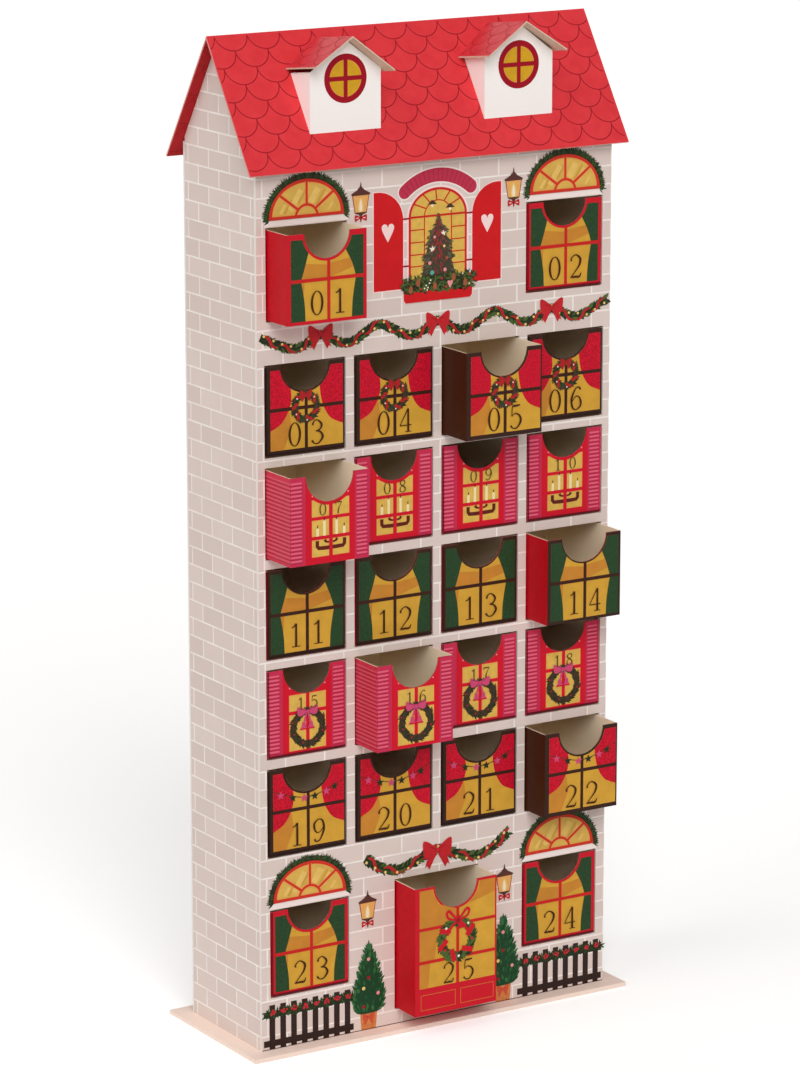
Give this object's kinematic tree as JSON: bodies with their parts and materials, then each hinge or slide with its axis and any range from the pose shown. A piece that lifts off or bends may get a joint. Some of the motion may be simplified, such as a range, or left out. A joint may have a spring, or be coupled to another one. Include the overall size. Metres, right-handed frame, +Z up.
{
  "type": "house advent calendar",
  "caption": "Tall narrow house of printed board and card with a pitched roof, two dormers and a front full of numbered drawers that slide out.",
  "frame": {"origin": "middle of the underside of the base board, at the table", "axes": "+Z up along the house, +X across the front to a viewer's right, +Y from the front to the back, so the drawers come out along -Y"},
  "size_m": [0.282, 0.1288, 0.6414],
  "materials": {
    "base_print": "matt print",
    "front_print": "matt print",
    "brick_print": "matt print",
    "plain_board": "uncoated",
    "plain_card": "uncoated",
    "roof_print": "matt print",
    "dormer_card": "matt print",
    "red_drawer": "matt print",
    "brown_drawer": "matt print",
    "louvred_drawer": "matt print",
    "door_drawer": "matt print"
  },
  "bodies": {
    "case": {"base_board": "base_print", "house_front": "front_print", "back_wall": "brick_print", "left_gable_wall": "brick_print", "right_gable_wall": "brick_print", "attic_floor": "plain_board", "roof": "roof_print", "shelf_1": "plain_board", "shelf_2": "plain_board", "shelf_3": "plain_board", "shelf_4": "plain_board", "shelf_5": "plain_board", "shelf_6": "plain_board", "left_divider": "plain_board", "middle_divider": "plain_board", "right_divider": "plain_board", "sleeve_01": "plain_card", "sleeve_02": "plain_card", "sleeve_23": "plain_card", "sleeve_24": "plain_card", "sleeve_25": "plain_card", "left_dormer_body": "dormer_card", "left_dormer_roof": "roof_print", "right_dormer_body": "dormer_card", "right_dormer_roof": "roof_print"},
    "drawer_01": {"drawer_01": "red_drawer"},
    "drawer_02": {"drawer_02": "red_drawer"},
    "drawer_03": {"drawer_03": "brown_drawer"},
    "drawer_04": {"drawer_04": "brown_drawer"},
    "drawer_05": {"drawer_05": "brown_drawer"},
    "drawer_06": {"drawer_06": "brown_drawer"},
    "drawer_07": {"drawer_07": "louvred_drawer"},
    "drawer_08": {"drawer_08": "louvred_drawer"},
    "drawer_09": {"drawer_09": "louvred_drawer"},
    "drawer_10": {"drawer_10": "louvred_drawer"},
    "drawer_11": {"drawer_11": "red_drawer"},
    "drawer_12": {"drawer_12": "red_drawer"},
    "drawer_13": {"drawer_13": "red_drawer"},
    "drawer_14": {"drawer_14": "red_drawer"},
    "drawer_15": {"drawer_15": "louvred_drawer"},
    "drawer_16": {"drawer_16": "louvred_drawer"},
    "drawer_17": {"drawer_17": "louvred_drawer"},
    "drawer_18": {"drawer_18": "louvred_drawer"},
    "drawer_19": {"drawer_19": "brown_drawer"},
    "drawer_20": {"drawer_20": "brown_drawer"},
    "drawer_21": {"drawer_21": "brown_drawer"},
    "drawer_22": {"drawer_22": "brown_drawer"},
    "drawer_23": {"drawer_23": "red_drawer"},
    "drawer_24": {"drawer_24": "red_drawer"},
    "drawer_25": {"drawer_25": "door_drawer"}
  },
  "joints": [
    {"name": "drawer_01_slide", "type": "slide", "parent": "case", "child": "drawer_01", "axis": [0, -1, 0], "range_m": [-0.02422, 0.05828]},
    {"name": "drawer_02_slide", "type": "slide", "parent": "case", "child": "drawer_02", "axis": [0, -1, 0], "range_m": [0, 0.0825]},
    {"name": "drawer_03_slide", "type": "slide", "parent": "case", "child": "drawer_03", "axis": [0, -1, 0], "range_m": [0, 0.0825]},
    {"name": "drawer_04_slide", "type": "slide", "parent": "case", "child": "drawer_04", "axis": [0, -1, 0], "range_m": [0, 0.0825]},
    {"name": "drawer_05_slide", "type": "slide", "parent": "case", "child": "drawer_05", "axis": [0, -1, 0], "range_m": [-0.02725, 0.05525]},
    {"name": "drawer_06_slide", "type": "slide", "parent": "case", "child": "drawer_06", "axis": [0, -1, 0], "range_m": [0, 0.0825]},
    {"name": "drawer_07_slide", "type": "slide", "parent": "case", "child": "drawer_07", "axis": [0, -1, 0], "range_m": [-0.02881, 0.05369]},
    {"name": "drawer_08_slide", "type": "slide", "parent": "case", "child": "drawer_08", "axis": [0, -1, 0], "range_m": [0, 0.0825]},
    {"name": "drawer_09_slide", "type": "slide", "parent": "case", "child": "drawer_09", "axis": [0, -1, 0], "range_m": [0, 0.0825]},
    {"name": "drawer_10_slide", "type": "slide", "parent": "case", "child": "drawer_10", "axis": [0, -1, 0], "range_m": [0, 0.0825]},
    {"name": "drawer_11_slide", "type": "slide", "parent": "case", "child": "drawer_11", "axis": [0, -1, 0], "range_m": [0, 0.0825]},
    {"name": "drawer_12_slide", "type": "slide", "parent": "case", "child": "drawer_12", "axis": [0, -1, 0], "range_m": [0, 0.0825]},
    {"name": "drawer_13_slide", "type": "slide", "parent": "case", "child": "drawer_13", "axis": [0, -1, 0], "range_m": [0, 0.0825]},
    {"name": "drawer_14_slide", "type": "slide", "parent": "case", "child": "drawer_14", "axis": [0, -1, 0], "range_m": [-0.02353, 0.05897]},
    {"name": "drawer_15_slide", "type": "slide", "parent": "case", "child": "drawer_15", "axis": [0, -1, 0], "range_m": [0, 0.0825]},
    {"name": "drawer_16_slide", "type": "slide", "parent": "case", "child": "drawer_16", "axis": [0, -1, 0], "range_m": [-0.02526, 0.05724]},
    {"name": "drawer_17_slide", "type": "slide", "parent": "case", "child": "drawer_17", "axis": [0, -1, 0], "range_m": [0, 0.0825]},
    {"name": "drawer_18_slide", "type": "slide", "parent": "case", "child": "drawer_18", "axis": [0, -1, 0], "range_m": [0, 0.0825]},
    {"name": "drawer_19_slide", "type": "slide", "parent": "case", "child": "drawer_19", "axis": [0, -1, 0], "range_m": [0, 0.0825]},
    {"name": "drawer_20_slide", "type": "slide", "parent": "case", "child": "drawer_20", "axis": [0, -1, 0], "range_m": [0, 0.0825]},
    {"name": "drawer_21_slide", "type": "slide", "parent": "case", "child": "drawer_21", "axis": [0, -1, 0], "range_m": [0, 0.0825]},
    {"name": "drawer_22_slide", "type": "slide", "parent": "case", "child": "drawer_22", "axis": [0, -1, 0], "range_m": [-0.02232, 0.06018]},
    {"name": "drawer_23_slide", "type": "slide", "parent": "case", "child": "drawer_23", "axis": [0, -1, 0], "range_m": [0, 0.0825]},
    {"name": "drawer_24_slide", "type": "slide", "parent": "case", "child": "drawer_24", "axis": [0, -1, 0], "range_m": [0, 0.0825]},
    {"name": "drawer_25_slide", "type": "slide", "parent": "case", "child": "drawer_25", "axis": [0, -1, 0], "range_m": [-0.02336, 0.05915]}
  ]
}
